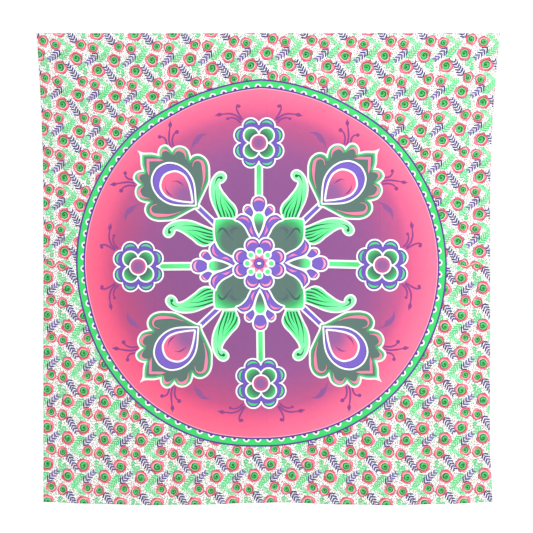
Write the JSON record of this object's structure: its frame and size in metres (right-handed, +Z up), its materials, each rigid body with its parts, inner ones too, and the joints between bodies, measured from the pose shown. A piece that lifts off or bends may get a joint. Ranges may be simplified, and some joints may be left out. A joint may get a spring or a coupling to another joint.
{
  "type": "tapestry wall hanging",
  "caption": "Large printed cotton sheet with narrow stitched hems that hangs flat against a wall from its top hem.",
  "frame": {"origin": "middle of the top hem's back face, where it lies on the wall", "axes": "+X to the right of a viewer who faces the printed side, +Y out of the back into the wall, +Z up"},
  "size_m": [2.134, 0.0331, 2.17],
  "materials": {
    "printed_cotton": "matte plain-weave cotton with a printed medallion and small flowers",
    "hem_cotton": "matte plain-weave cotton, double turned",
    "sewing_thread": "white spun polyester thread"
  },
  "bodies": {
    "top_band": {"top_hem": "hem_cotton", "top_needle_thread": "sewing_thread", "top_bobbin_thread": "sewing_thread"},
    "hanging_cloth": {"printed_panel": "printed_cotton", "left_hem": "hem_cotton", "right_hem": "hem_cotton", "bottom_hem": "hem_cotton", "left_needle_thread": "sewing_thread", "right_needle_thread": "sewing_thread", "bottom_needle_thread": "sewing_thread", "left_bobbin_thread": "sewing_thread", "right_bobbin_thread": "sewing_thread", "bottom_bobbin_thread": "sewing_thread"}
  },
  "joints": [
    {"name": "cloth_swing", "type": "hinge", "parent": "top_band", "child": "hanging_cloth", "pos_m": [0, -0.00105, -0.0073], "axis": [-1, 0, 0], "range_deg": [0, 90]}
  ]
}
